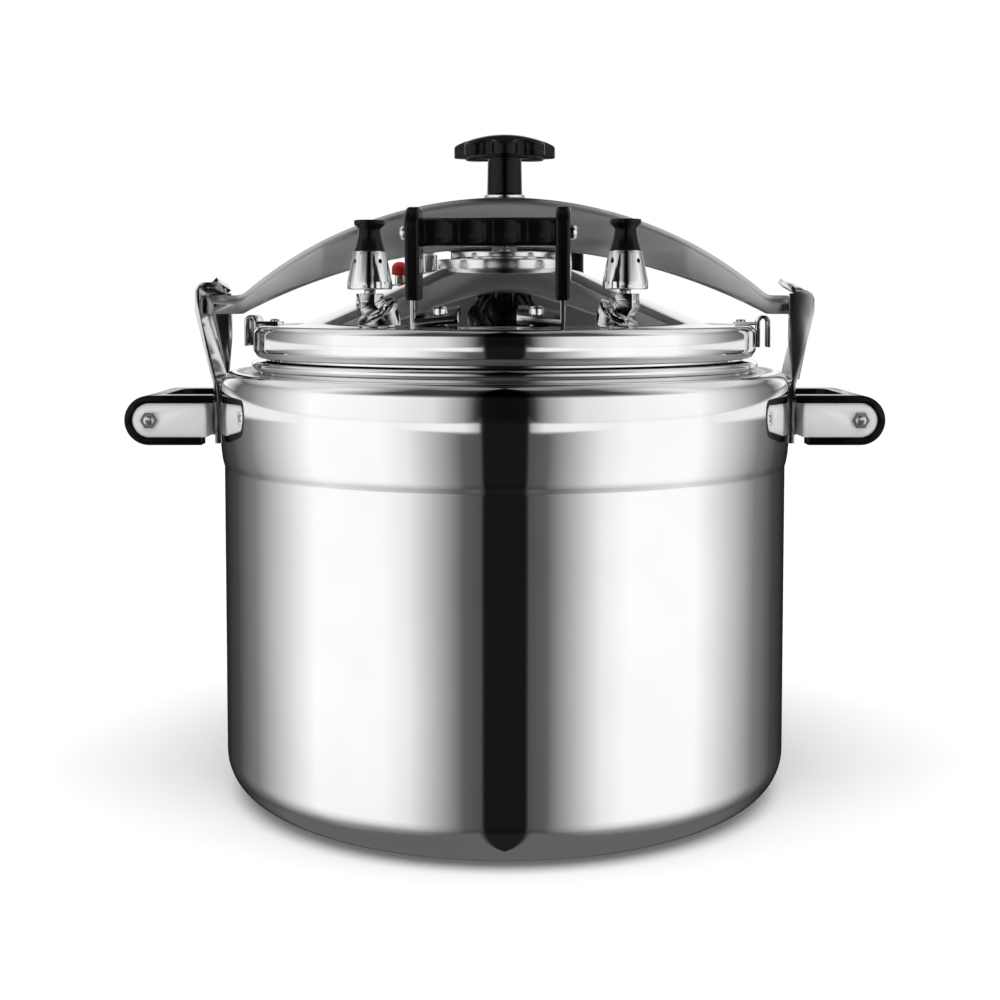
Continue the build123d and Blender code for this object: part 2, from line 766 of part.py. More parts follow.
def handle_cheek(side):
    """Moulded cheek of the front handle, with a slot for its leg."""
    y = -handle_radius()
    inner = handle_width / 2
    outer = inner + cheek_thickness
    foot = ring_top + cheek_lift
    top = foot + cheek_height
    bulb = top - cheek_top_radius
    outline = Plane.YZ * (
        Pos(y, bulb) * Circle(cheek_top_radius)
        + make_face(Polyline((y - cheek_foot_half, foot), (y + cheek_foot_half, foot),
                             (y + cheek_top_radius, bulb), (y - cheek_top_radius, bulb), close=True)))
    start = inner if side > 0 else -outer
    cheek = Pos(start, 0, 0) * extrude(outline, cheek_thickness, dir=(1, 0, 0))
    faces = cheek.faces().sort_by(Axis.X)
    cheek = fillet(faces[0].edges() + faces[-1].edges(), cheek_round)
    half = leg_width / 2 + leg_fit
    leg_top = ring_top + leg_rise - leg_width / 2
    slot_inner = side * (leg_inner_x() - leg_fit)
    slot_outer = side * (leg_inner_x() + leg_sheet + leg_fit)
    slot = block((slot_inner, y - half, foot - 5), (slot_outer, y + half, leg_top))
    slot += rod_x(half, slot_inner, slot_outer, y, leg_top)
    bolt_hole = rod_x(cross_bolt_radius + bolt_fit, side * (inner - 5), side * (outer + 5), y,
                      cross_bolt_z())
    return cheek - slot - bolt_hole


def handle_cheeks():
    return both_sides(handle_cheek)


def handle_bar():
    """Moulded bar between the cheeks, with finger grooves on its front."""
    y = -handle_radius()
    half = grip_depth / 2
    top = ring_top + cheek_lift + cheek_height - grip_top_drop
    bar = block((-handle_width / 2, y - half, top - grip_height), (handle_width / 2, y + half, top))
    bar = fillet(bar.edges().filter_by(Axis.X), grip_round)
    first = -grip_groove_pitch * (grip_groove_count - 1) / 2
    sag = grip_groove_depth
    groove_radius = ((grip_groove_width / 2) ** 2 + sag ** 2) / (2 * sag)
    for index in range(grip_groove_count):
        x = first + index * grip_groove_pitch
        for side in (-1, 1):
            groove_y = y + side * (half + groove_radius - sag)
            bar -= rod(groove_radius, top - grip_height - 1, top + 1, x, groove_y)
    return bar - rod_x(cross_bolt_radius + bolt_fit, -handle_width, handle_width, y, cross_bolt_z())


def cross_bolt():
    """Through bolt of a lid handle with a dome head at each end."""
    y = -handle_radius()
    end = handle_width / 2 + cheek_thickness
    z = cross_bolt_z()
    bolt = rod_x(cross_bolt_radius, -end - 0.5, end + 0.5, y, z)
    for side in (1, -1):
        head = rod_x(cross_head_radius, side * end, side * (end + cross_head_height), y, z)
        bolt += rounded_end(head, Axis.X, side, cross_head_height * head_rounding)
    return bolt


def foot_screw(side):
    """Screw of a lid handle's foot, with its nut under the lid."""
    x = side * foot_screw_x()
    y = -handle_radius()
    seat = cone_height(math.hypot(x, y)) + foot_tab_sheet
    shank_foot = seat - foot_tab_sheet - lid_wall - screw_nut_height - 1.0
    head = rod(screw_head_radius, seat - 2.0, seat + screw_head_height, x, y)
    head = rounded_end(head, Axis.Z, 1, screw_head_height * head_rounding) - cone_fill(foot_tab_sheet)
    nut = hexagon(screw_nut_flats, shank_foot + 0.6, seat, x, y) & under_cone()
    return head + nut + rod(screw_radius, shank_foot, seat + 1, x, y)


def foot_screws():
    return both_sides(foot_screw)


def under_cone():
    """Everything under the inner surface of the lid's cone."""
    low = under_lid - 40
    under_dome = dome_top - lid_wall
    return turned([(0, low), (cone_foot_radius, low), (cone_foot_radius, under_lid),
                   (dome_top_radius, under_dome), (0, under_dome)])


# ---- Fittings on the cone ----

def seal_foot(inset, seal_radius):
    """Height of a seal's flat lower face."""
    return cone_height(cone_foot_radius - inset + seal_radius) - lid_wall - 1.0


def cone_seal(inset, bearing, thread, radius):
    """Soft seal between the sloping wall and a level nut."""
    x, y = lid_spot(inset, bearing)
    foot = seal_foot(inset, radius)
    return on_lid(tube(thread + hole_fit, radius, foot, foot + 3 * seal_depth, x, y) & under_cone())


def cone_nut(inset, bearing, thread, seal_radius, flats):
    x, y = lid_spot(inset, bearing)
    top = seal_foot(inset, seal_radius)
    nut = hexagon(flats, top - nut_height, top, x, y)
    return on_lid(nut - rod(thread, top - nut_height - 1, top + 1, x, y))


def guard_top():
    return seal_foot(valve_inset, pipe_seal_radius) - nut_height


def pipe_seat():
    return cone_height(cone_foot_radius - valve_inset)


def weight_foot():
    return pipe_seat() + pipe_flange_height + weight_gap


def vent_pipe(bearing):
    """Vent pipe with a six-sided flange on the cone and a thread through the lid."""
    x, y = lid_spot(valve_inset, bearing)
    flange_top = pipe_seat() + pipe_flange_height
    pipe_foot = guard_top() - guard_wall - pipe_end_gap
    pipe_top = weight_foot() + weight_seat_depth - weight_seat_gap
    flange = hexagon(pipe_flange_flats, pipe_seat() - 10, flange_top, x, y) - cone_fill()
    pipe = flange + rod(pipe_thread_radius, pipe_foot, flange_top - 1, x, y)
    pipe += rod(pipe_radius, flange_top - 2, pipe_top, x, y)
    return on_lid(pipe - rod(pipe_hole_radius, pipe_foot - 1, pipe_top + 1, x, y))


def vent_guard(bearing):
    """Slotted cap on the vent pipe's lower end that keeps food out."""
    x, y = lid_spot(valve_inset, bearing)
    top = guard_top()
    foot = top - guard_height
    guard = rod(guard_radius, foot, top, x, y)
    guard -= rod(guard_radius - guard_wall, foot + guard_wall, top - guard_wall, x, y)
    guard -= rod(pipe_thread_radius, foot + guard_wall, top + 1, x, y)
    middle = (foot + top) / 2 - 0.6
    for index in range(guard_slots // 2):
        slot = Box(2 * guard_radius + 2, guard_slot_width, guard_slot_height)
        guard -= Pos(x, y, middle) * Rot(0, 0, index * 360 / guard_slots) * slot
    return on_lid(guard)


def weight_body(bearing):
    """Regulator weight: a turned cone with a blind bore over the vent pipe and four steam holes."""
    x, y = lid_spot(valve_inset, bearing)
    foot = weight_foot()
    top = foot + weight_height
    seat = foot + weight_seat_depth
    ceiling = seat + weight_chamber_height
    body = turned([
        (0, ceiling), (weight_chamber_radius, ceiling), (weight_chamber_radius, seat),
        (weight_bore_radius, seat), (weight_bore_radius, foot), (weight_foot_radius, foot),
        (weight_foot_radius, foot + weight_foot_height), (weight_top_radius, top), (spigot_radius, top),
        (spigot_radius, top + spigot_height), (0, top + spigot_height)],
        [(weight_foot_radius, foot, weight_edge),
         (weight_foot_radius, foot + weight_foot_height, weight_edge),
         (weight_top_radius, top, weight_edge)])
    hole_z = seat + weight_chamber_height / 2
    for index in range(steam_holes):
        hole = rod_x(steam_hole_radius, 0, weight_foot_radius + 5, 0, hole_z)
        body -= Rot(0, 0, (index + 0.5) * 360 / steam_holes) * hole
    return on_lid(Pos(x, y, 0) * body)


def weight_cap(bearing):
    """Moulded cap on the weight's spigot, waisted, with a flared top."""
    x, y = lid_spot(valve_inset, bearing)
    foot = weight_foot() + weight_height
    top = foot + cap_height
    side_middle = (cap_waist_radius + cap_side_bulge, foot + cap_waist_height * cap_side_share)
    cap = turned([
        (0, foot + spigot_height), (spigot_radius, foot + spigot_height), (spigot_radius, foot),
        (cap_foot_radius, foot), (cap_foot_radius - cap_foot_taper, foot + cap_foot_height),
        (side_middle, (cap_waist_radius, foot + cap_waist_height)),
        (cap_flare_radius, top - cap_flare_height), (cap_flare_radius, top), (0, top)],
        [(cap_flare_radius, top - cap_flare_height, cap_round), (cap_flare_radius, top, cap_round)])
    return on_lid(Pos(x, y, 0) * cap)


def plug_seat():
    return cone_height(cone_foot_radius - plug_inset)


def safety_plug():
    x, y = lid_spot(plug_inset, plug_bearing)
    base_top = plug_seat() + plug_base_height
    nut_foot = seal_foot(plug_inset, plug_seal_radius) - nut_height
    plug = hexagon(plug_flats, plug_seat() - 10, base_top, x, y) - cone_fill()
    plug += rod(plug_thread_radius, nut_foot - housing_end, base_top - 1, x, y)
    plug += rod(plug_stem_radius, base_top - 1, base_top + plug_stem_height, x, y)
    return on_lid(plug)


def safety_plug_cap():
    """Red rubber cap that blows out when the pressure is too high."""
    x, y = lid_spot(plug_inset, plug_bearing)
    stem_top = plug_seat() + plug_base_height + plug_stem_height
    foot = stem_top - red_cap_socket
    cap = rod(red_cap_radius, foot, foot + red_cap_height, x, y)
    cap = rounded_end(cap, Axis.Z, 1, red_cap_round)
    return on_lid(cap - rod(plug_stem_radius, foot - 1, stem_top, x, y))


def float_seat():
    return cone_height(cone_foot_radius - float_inset)


def float_housing_top():
    return float_seat() + float_base_height + float_housing_height


def float_housing_foot():
    return seal_foot(float_inset, float_seal_radius) - nut_height - housing_end


def float_housing():
    """Housing of the pressure indicator, with a bore for its pin."""
    x, y = lid_spot(float_inset, float_bearing)
    base_top = float_seat() + float_base_height
    top = float_housing_top()
    foot = float_housing_foot()
    barrel = rod(float_housing_radius, base_top - 1, top, x, y)
    barrel = rounded_end(barrel, Axis.Z, 1, float_edge)
    housing = hexagon(float_flats, float_seat() - 10, base_top, x, y) - cone_fill()
    housing = housing + barrel + rod(float_thread_radius, foot, base_top, x, y)
    return on_lid(housing - rod(float_pin_radius + float_pin_fit, foot - 1, top + 1, x, y))


def float_pin():
    """Indicator pin: pressure lifts it until its lower disc meets the housing."""
    x, y = lid_spot(float_inset, float_bearing)
    head_foot = float_housing_top() + float_stop_gap
    disc_top = float_housing_foot() - float_travel - float_stop_gap
    pin = rod(float_pin_radius, disc_top - 0.5, head_foot + 0.5, x, y)
    pin += rod(float_head_radius, head_foot, head_foot + float_head_height, x, y)
    pin += rod(float_disc_radius, disc_top - float_disc_height, disc_top, x, y)
    return on_lid(pin)


# ---- Clamping beam, screw and knob ----

def arc_top(radius_span, rise, top, x):
    """Height at x of a circular arc of the given half span and rise."""
    radius = (radius_span ** 2 + rise ** 2) / (2 * rise)
    return top - radius + math.sqrt(radius ** 2 - x ** 2)


def beam_plan(inset, foot, top):
    """Plan of the beam drawn in by inset, as an upright prism."""
    half = beam_width / 2 - inset
    tip_half = tongue_width / 2 - inset
    shoulder = tongue_root - beam_narrowing
    corners = [(-tongue_end, -tip_half), (-tongue_root, -tip_half), (-shoulder, -half), (shoulder, -half),
               (tongue_root, -tip_half), (tongue_end, -tip_half)]
    corners += [(x, -y) for x, y in reversed(corners)]
    plan = make_face(Polyline(*corners, close=True))
    bends = [vertex for vertex in plan.vertices() if abs(vertex.X) < tongue_end - 1]
    plan = fillet(bends, beam_side_round)
    return Pos(0, 0, foot) * extrude(plan, top - foot)


def clamp_beam():
    """Pressed beam, open below, arched over the lid, with a tongue at each end."""
    under_end = tongue_root + tongue_under
    side = section([
        (-tongue_end, tongue_foot), (-tongue_end, tongue_top), (-tongue_root, tongue_top),
        ((0, beam_top), (tongue_root, tongue_top)), (tongue_end, tongue_top), (tongue_end, tongue_foot),
        (under_end, tongue_foot), ((0, beam_under), (-under_end, tongue_foot))],
        [(-tongue_root, tongue_top, tongue_root_round), (tongue_root, tongue_top, tongue_root_round),
         (-tongue_end, tongue_top, tongue_round), (tongue_end, tongue_top, tongue_round)])
    low = tongue_foot - 1
    high = beam_top + 1
    beam = slab(side, beam_width + 4) & beam_plan(0, low, high)
    hollow_end = tongue_root - beam_hollow_inset
    hollow_top = beam_top - beam_sheet
    top_edges = [edge for edge in beam.edges()
                 if abs(edge.center().X) < tongue_root - 5 and edge.center().Z > beam_under]
    beam = fillet(top_edges, beam_round)
    hollow_corner = arc_top(tongue_root, beam_top_rise, beam_top, hollow_end) - beam_sheet
    hollow = slab(section([
        (-hollow_end, low), (-hollow_end, hollow_corner), ((0, hollow_top), (hollow_end, hollow_corner)),
        (hollow_end, low)]), beam_width)
    beam -= hollow & beam_plan(beam_sheet, low, high)
    return beam - rod(nut_radius, low, high + 5)


def beam_nut():
    """Threaded bush in the middle of the beam."""
    foot = beam_top - nut_length
    top = beam_top + nut_flange_height
    bore = screw_main_radius + screw_fit
    return turned([
        (bore, foot), (nut_radius, foot), (nut_radius, beam_top), (nut_flange_radius, beam_top),
        (nut_flange_radius, top), (bore, top)], [(nut_flange_radius, top, nut_edge)])


def foot_base():
    return dome_top + socket_floor + foot_lift


def foot_top():
    return foot_base() + foot_height


def ring_middle():
    return foot_base() + foot_floor + (foot_height - foot_floor) * ring_share


def screw_foot():
    """Swivel foot under the screw, with a groove for the snap ring inside."""
    base = foot_base()
    floor = base + foot_floor
    bore = screw_tip_radius + foot_bore_fit
    ring_low = ring_middle() - ring_thickness / 2
    ring_high = ring_middle() + ring_thickness / 2
    return turned([
        (0, base), (foot_radius, base), (foot_radius, foot_top()), (bore, foot_top()), (bore, ring_high),
        (ring_outer_radius, ring_high), (ring_outer_radius, ring_low), (bore, ring_low), (bore, floor),
        (0, floor)], [(foot_radius, base, foot_edge)])


def foot_ring():
    half = ring_thickness / 2
    ring = tube(ring_inner_radius, ring_outer_radius, ring_middle() - half, ring_middle() + half)
    gap = block((0, -1, ring_middle() - 2), (ring_outer_radius + 1, 1, ring_middle() + 2))
    return ring - gap


def clamp_screw():
    """Clamp screw: tip in the foot, thread in the bush, and a thinner end held in the knob."""
    tip_foot = foot_base() + foot_floor + foot_clearance
    shoulder = foot_top() + screw_lower_gap
    neck = knob_foot - screw_neck_drop
    top = knob_foot + knob_engagement
    groove_low = ring_middle() - ring_thickness / 2 - ring_clearance
    groove_high = ring_middle() + ring_thickness / 2 + ring_clearance
    groove = ring_inner_radius - ring_clearance
    return turned([
        (0, tip_foot), (screw_tip_radius, tip_foot), (screw_tip_radius, groove_low), (groove, groove_low),
        (groove, groove_high), (screw_tip_radius, groove_high), (screw_tip_radius, shoulder),
        (screw_main_radius, shoulder), (screw_main_radius, neck), (screw_neck_radius, neck),
        (screw_neck_radius, top), (0, top)], [(screw_neck_radius, top, nut_edge)])


def star_knob():
    """Moulded star knob with eight lobes, a domed top, a tapered stem and a recess below."""
    top = knob_rim_foot + knob_height
    plan = Sketch() + Circle(knob_hub_radius)
    for index in range(knob_lobes):
        angle = math.radians(index * 360 / knob_lobes)
        spot = Pos(knob_lobe_circle * math.cos(angle), knob_lobe_circle * math.sin(angle))
        plan += spot * Circle(knob_lobe_radius)
    plan = fillet(plan.vertices(), knob_groove_round)
    head = Pos(0, 0, knob_rim_foot) * extrude(plan, knob_height + 1)
    edge_radius = knob_lobe_circle + knob_lobe_radius
    drop = knob_height - knob_side_height
    dome_radius = (edge_radius ** 2 + drop ** 2) / (2 * drop)
    head &= Pos(0, 0, top - dome_radius) * Sphere(dome_radius)
    head = fillet(head.edges().filter_by(lambda edge: edge.center().Z > knob_rim_foot + 1), knob_edge)
    recess = tube(knob_recess_inner, knob_recess_outer, knob_rim_foot - 1, knob_rim_foot + knob_recess_depth)
    stem = turned([
        (0, knob_foot), (knob_stem_foot_radius, knob_foot), (knob_stem_top_radius, knob_rim_foot + 1),
        (0, knob_rim_foot + 1)], [(knob_stem_foot_radius, knob_foot, 1.0)])
    bore = rod(screw_neck_radius, knob_foot - 1, knob_foot + knob_engagement)
    return head - recess + stem - bore


# ---- All pieces ----

parts = {
    "pot_shell": pot_shell(),
    "lid_gasket": lid_gasket(),
    "lid_shell": lid_shell(),
    "boss_plate": boss_plate(),
    "thrust_plate": thrust_plate(),
    "clip_rivets": clip_rivets(),
    "safety_plug": safety_plug(),
    "safety_plug_cap": safety_plug_cap(),
    "safety_plug_seal": cone_seal(plug_inset, plug_bearing, plug_thread_radius, plug_seal_radius),
    "safety_plug_nut": cone_nut(plug_inset, plug_bearing, plug_thread_radius, plug_seal_radius,
                                plug_nut_flats),
    "float_housing": float_housing(),
    "float_seal": cone_seal(float_inset, float_bearing, float_thread_radius, float_seal_radius),
    "float_nut": cone_nut(float_inset, float_bearing, float_thread_radius, float_seal_radius,
                          float_nut_flats),
    "float_pin": float_pin(),
    "clamp_beam": clamp_beam(),
    "beam_nut": beam_nut(),
    "clamp_screw": clamp_screw(),
    "screw_foot": screw_foot(),
    "foot_ring": foot_ring(),
    "star_knob": star_knob(),
}

for name, make in (("hook_arm", hook_arm), ("handle_bracket", handle_bracket), ("handle_grip", handle_grip),
                   ("handle_bolts", handle_bolts), ("arm_rivets", arm_rivets), ("rim_clip", rim_clip)):
    shape = make()
    parts[name + "_right"] = shape
    parts[name + "_left"] = half_turn(shape)

for name, make in (("lid_handle_feet", handle_feet), ("lid_handle_cheeks", handle_cheeks),
                   ("lid_handle_grip", handle_bar), ("lid_handle_bolt", cross_bolt),
                   ("lid_handle_screws", foot_screws)):
    shape = on_lid(make())
    parts[name + "_front"] = shape
    parts[name + "_rear"] = half_turn(shape)

for side, bearing in (("right", valve_bearing), ("left", -valve_bearing)):
    parts["vent_pipe_" + side] = vent_pipe(bearing)
    parts["vent_guard_" + side] = vent_guard(bearing)
    parts["vent_seal_" + side] = cone_seal(valve_inset, bearing, pipe_thread_radius, pipe_seal_radius)
    parts["vent_nut_" + side] = cone_nut(valve_inset, bearing, pipe_thread_radius, pipe_seal_radius,
                                         pipe_nut_flats)
    parts["weight_body_" + side] = weight_body(bearing)
    parts["weight_cap_" + side] = weight_cap(bearing)

os.makedirs("parts", exist_ok=True)
for name, shape in parts.items():
    export_step(shape, "parts/" + name + ".step")
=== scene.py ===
import bmesh
import bpy
import json
import math
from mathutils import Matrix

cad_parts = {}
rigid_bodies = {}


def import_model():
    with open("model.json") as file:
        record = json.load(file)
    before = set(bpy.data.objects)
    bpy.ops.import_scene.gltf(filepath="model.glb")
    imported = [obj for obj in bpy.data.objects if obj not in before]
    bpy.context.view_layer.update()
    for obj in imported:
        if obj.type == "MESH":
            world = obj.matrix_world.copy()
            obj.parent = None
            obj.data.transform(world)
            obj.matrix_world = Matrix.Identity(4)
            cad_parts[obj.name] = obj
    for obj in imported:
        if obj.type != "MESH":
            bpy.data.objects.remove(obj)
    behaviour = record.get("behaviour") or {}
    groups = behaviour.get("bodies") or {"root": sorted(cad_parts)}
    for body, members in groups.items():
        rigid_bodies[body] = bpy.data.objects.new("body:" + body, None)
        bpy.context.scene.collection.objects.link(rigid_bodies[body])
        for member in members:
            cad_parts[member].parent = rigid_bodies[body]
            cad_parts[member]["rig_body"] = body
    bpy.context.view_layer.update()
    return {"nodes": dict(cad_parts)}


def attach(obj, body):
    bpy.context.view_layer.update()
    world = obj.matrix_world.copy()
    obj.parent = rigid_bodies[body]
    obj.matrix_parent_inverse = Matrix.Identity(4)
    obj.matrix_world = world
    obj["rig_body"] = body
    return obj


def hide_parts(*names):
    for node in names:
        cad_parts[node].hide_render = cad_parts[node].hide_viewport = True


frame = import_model()


# ---- Pot shell ----
# Deep pot drawn and spun from one thick aluminium disc: a plain wall, a barrel-shaped band under
# the shoulder and a rolled bead round the neck. Mirror polished outside on a wheel, which leaves
# faint marks running round it, and left satin inside.

MM = 0.001


def new_material(name):
    """Empty metal or plastic finish, with its node tree and its shader."""
    made = bpy.data.materials.new(name)
    made.use_nodes = True
    return made, made.node_tree, made.node_tree.nodes["Principled BSDF"]


def place(tree, round_axis=False, stretch=(1, 1, 1)):
    """Coordinates for marks: stretched in the part's own frame, or as radius and height so that
    the marks run round the upright axis."""
    spot = tree.nodes.new("ShaderNodeTexCoord").outputs["Object"]
    if round_axis:
        flat = tree.nodes.new("ShaderNodeVectorMath")
        flat.operation = "MULTIPLY"
        flat.inputs[1].default_value = (1, 1, 0)
        tree.links.new(spot, flat.inputs[0])
        reach = tree.nodes.new("ShaderNodeVectorMath")
        reach.operation = "LENGTH"
        tree.links.new(flat.outputs[0], reach.inputs[0])
        split = tree.nodes.new("ShaderNodeSeparateXYZ")
        tree.links.new(spot, split.inputs[0])
        joined = tree.nodes.new("ShaderNodeCombineXYZ")
        tree.links.new(reach.outputs["Value"], joined.inputs["X"])
        tree.links.new(split.outputs["Z"], joined.inputs["Z"])
        spot = joined.outputs[0]
    stretched = tree.nodes.new("ShaderNodeMapping")
    stretched.inputs["Scale"].default_value = stretch
    tree.links.new(spot, stretched.inputs["Vector"])
    return stretched.outputs["Vector"]


def noise(tree, where, scale, detail=2.0):
    """Soft random marks, with about the given number of them in a metre."""
    texture = tree.nodes.new("ShaderNodeTexNoise")
    texture.inputs["Scale"].default_value = scale
    texture.inputs["Detail"].default_value = detail
    tree.links.new(where, texture.inputs["Vector"])
    return texture.outputs["Fac"]


def spread(tree, factor, low, high, socket):
    """Lets a noise move a socket between two values."""
    mapped = tree.nodes.new("ShaderNodeMapRange")
    mapped.inputs["From Min"].default_value = 0.3
    mapped.inputs["From Max"].default_value = 0.7
    mapped.inputs["To Min"].default_value = low
    mapped.inputs["To Max"].default_value = high
    tree.links.new(factor, mapped.inputs["Value"])
    tree.links.new(mapped.outputs["Result"], socket)


def tints(tree, factor, first, second, socket):
    """Lets a noise move a colour between two tints."""
    ramp = tree.nodes.new("ShaderNodeValToRGB")
    ramp.color_ramp.elements[0].position = 0.3
    ramp.color_ramp.elements[1].position = 0.7
    ramp.color_ramp.elements[0].color = (*first, 1)
    ramp.color_ramp.elements[1].color = (*second, 1)
    tree.links.new(factor, ramp.inputs["Fac"])
    tree.links.new(ramp.outputs["Color"], socket)


def relief(tree, height, depth, shader):
    """Bumps of the given depth in metres."""
    bump = tree.nodes.new("ShaderNodeBump")
    bump.inputs["Distance"].default_value = depth
    tree.links.new(height, bump.inputs["Height"])
    tree.links.new(bump.outputs["Normal"], shader.inputs["Normal"])


def metal(name, dark, light, smooth, rough, marks, mark_depth, round_axis=False, stretch=(1, 1, 1)):
    """Bare metal whose gloss and tint drift slowly, with fine marks along one direction."""
    made, tree, shader = new_material(name)
    shader.inputs["Metallic"].default_value = 1.0
    soft = noise(tree, place(tree), 14, 4)
    tints(tree, soft, dark, light, shader.inputs["Base Color"])
    lines = noise(tree, place(tree, round_axis, stretch), marks, 3)
    spread(tree, noise(tree, place(tree, round_axis, stretch), marks / 6, 2), smooth, rough,
           shader.inputs["Roughness"])
    relief(tree, lines, mark_depth, shader)
    return made


mirror_aluminium = metal("mirror_aluminium", (0.86, 0.865, 0.87), (0.92, 0.922, 0.925),
                         smooth=0.02, rough=0.05, marks=900, mark_depth=0.001 * MM, round_axis=True)
satin_aluminium = metal("satin_aluminium", (0.74, 0.745, 0.75), (0.83, 0.833, 0.835),
                        smooth=0.24, rough=0.36, marks=1400, mark_depth=0.012 * MM, round_axis=True)


def outline(corners, closed):
    """Wire of a turned piece's section. A corner is its radius, its height and, in millimetres along
    both sides, how far its rounding reaches."""
    mesh = bmesh.new()
    points = [mesh.verts.new((radius * MM, 0, height * MM)) for radius, height, reach in corners]
    for first, second in zip(points, points[1:]):
        mesh.edges.new((first, second))
    if closed:
        mesh.edges.new((points[-1], points[0]))
    for point, (radius, height, reach) in zip(points, corners):
        if reach:
            fineness = 6 if reach < 10 else 16
            bmesh.ops.bevel(mesh, geom=[point], offset=reach * MM, offset_type="OFFSET",
                            segments=fineness, profile=0.5, affect="VERTICES", material=-1)
    return mesh


def turned(corners, closed=True, steps=160):
    """Piece turned about the upright axis, from its section."""
    mesh = outline(corners, closed)
    bmesh.ops.spin(mesh, geom=mesh.verts[:] + mesh.edges[:], cent=(0, 0, 0), axis=(0, 0, 1),
                   angle=math.tau, steps=steps, use_merge=True)
    bmesh.ops.remove_doubles(mesh, verts=mesh.verts[:], dist=0.001 * MM)
    bmesh.ops.recalc_face_normals(mesh, faces=mesh.faces[:])
    return mesh


def finished(name, mesh, nodes, finish, sharp=32):
    """Object from a bmesh, smooth but for its sharp edges, that stands for its CAD nodes and rides
    on their body."""
    for face in mesh.faces:
        face.smooth = True
    for edge in mesh.edges:
        edge.smooth = len(edge.link_faces) == 2 and edge.calc_face_angle() < math.radians(sharp)
    data = bpy.data.meshes.new(name)
    mesh.to_mesh(data)
    mesh.free()
    data.materials.append(finish)
    piece = bpy.data.objects.new(name, data)
    bpy.context.scene.collection.objects.link(piece)
    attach(piece, frame["nodes"][nodes[0]]["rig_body"])
    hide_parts(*nodes)
    return piece


def faces_out(face):
    """How far a face looks away from the upright axis; below nought, it looks towards it."""
    return face.normal.x * face.center.x + face.normal.y * face.center.y


pot_radius = 180                # plain wall, outside
pot_wall = 4
pot_floor = 6
base_round = 27
ridge_foot = 208                # step from the plain wall to the band
ridge_top = 212.3
ridge_round = 1.5
band_foot = pot_radius + 1.2
belly_radius = pot_radius + 4.4
belly_height = 236.5
band_top = pot_radius + 0.6
shoulder = 268.5
shoulder_fall = 2               # the shoulder dips towards the neck
neck_radius = 153
neck_bore = neck_radius - pot_wall
mouth = 285
bead_foot = neck_radius + 4.5
bead_radius = neck_radius + 9.5
bead_low = 268.6
bead_high = 274.2
bead_round = 2.6
pot_inside = pot_radius - pot_wall
pot = turned([
    (0, 0, 0), (pot_radius, 0, base_round), (pot_radius, ridge_foot, 0.8),
    (band_foot, ridge_top, ridge_round), (belly_radius, belly_height, 22), (band_top, shoulder, 8.5),
    (bead_foot, shoulder - shoulder_fall, 0), (bead_foot, bead_low, 0), (bead_radius, bead_low, bead_round), (bead_radius, bead_high, bead_round),
    (neck_radius, bead_high, 1), (neck_radius, mouth, 1), (neck_bore, mouth, 1),
    (neck_bore, shoulder - shoulder_fall - pot_wall, 1), (band_top - pot_wall, shoulder - pot_wall, 4),
    (belly_radius - pot_wall, belly_height - 0.5, 20), (band_foot - pot_wall, ridge_top, ridge_round),
    (pot_inside, ridge_foot, 0.8), (pot_inside, pot_floor, base_round - 0.1), (0, pot_floor, 0)],
    closed=False, steps=288)
pot_piece = finished("pot_shell_spun", pot, ["pot_shell"], mirror_aluminium)
pot_piece.data.materials.append(satin_aluminium)
for face in pot_piece.data.polygons:
    reach = math.hypot(face.center.x, face.center.y) / MM
    height = face.center.z / MM
    above_base = height > pot_floor - 1
    floor_part = above_base and height < pot_floor + 2 * base_round and face.normal.z > 0.5
    under_shoulder = height > ridge_foot and face.normal.z < -0.5
    wall_part = above_base and reach < belly_radius - pot_wall / 2 and faces_out(face) < 0
    if floor_part or under_shoulder or wall_part:
        face.material_index = 1


# ---- Rivets of the hook arms ----
# Four domed steel rivets hold each hook arm and its handle bracket to the pot's wall. They have
# heads inside the pot too.

def sharp_edge(edge):
    """True where two faces of a pressed or moulded piece meet at a corner."""
    return len(edge.link_faces) == 2 and edge.calc_face_angle() > math.radians(38)


def soften(mesh, reach, segments=2):
    """Rounds every sharp edge by the given millimetres."""
    corners = [edge for edge in mesh.edges if sharp_edge(edge)]
    bmesh.ops.bevel(mesh, geom=corners, offset=reach * MM, offset_type="OFFSET", segments=segments,
                    profile=0.5, affect="EDGES", material=-1, clamp_overlap=True)


def welded(node, edge_round, segments=2):
    """Copy of a CAD node's mesh with its triangles welded, its flat faces joined and its edges
    softened by the given millimetres."""
    mesh = bmesh.new()
    mesh.from_mesh(frame["nodes"][node].data)
    bmesh.ops.remove_doubles(mesh, verts=mesh.verts[:], dist=0.002 * MM)
    bmesh.ops.dissolve_limit(mesh, angle_limit=math.radians(0.6), verts=mesh.verts[:],
                             edges=mesh.edges[:], use_dissolve_boundaries=False)
    if edge_round:
        soften(mesh, edge_round, segments)
    return mesh


def dress(node, finish, edge_round=0.0, segments=2):
    """Finished copy of one CAD node."""
    return finished(node + "_finished", welded(node, edge_round, segments), [node], finish)


chrome = metal("chrome", (0.78, 0.785, 0.79), (0.88, 0.882, 0.885),
               smooth=0.05, rough=0.12, marks=700, mark_depth=0.002 * MM)
polished_steel = metal("polished_steel", (0.72, 0.725, 0.73), (0.84, 0.842, 0.845),
                       smooth=0.09, rough=0.17, marks=500, mark_depth=0.004 * MM, stretch=(1, 1, 0.12))
for side in ("right", "left"):
    dress("arm_rivets_" + side, chrome)


# ---- Hook arms ----
# Pressed steel arms riveted to the band of the pot. Each leans out past the rim and ends in an
# inward hook with a flared lip, which the beam's tongue turns under.

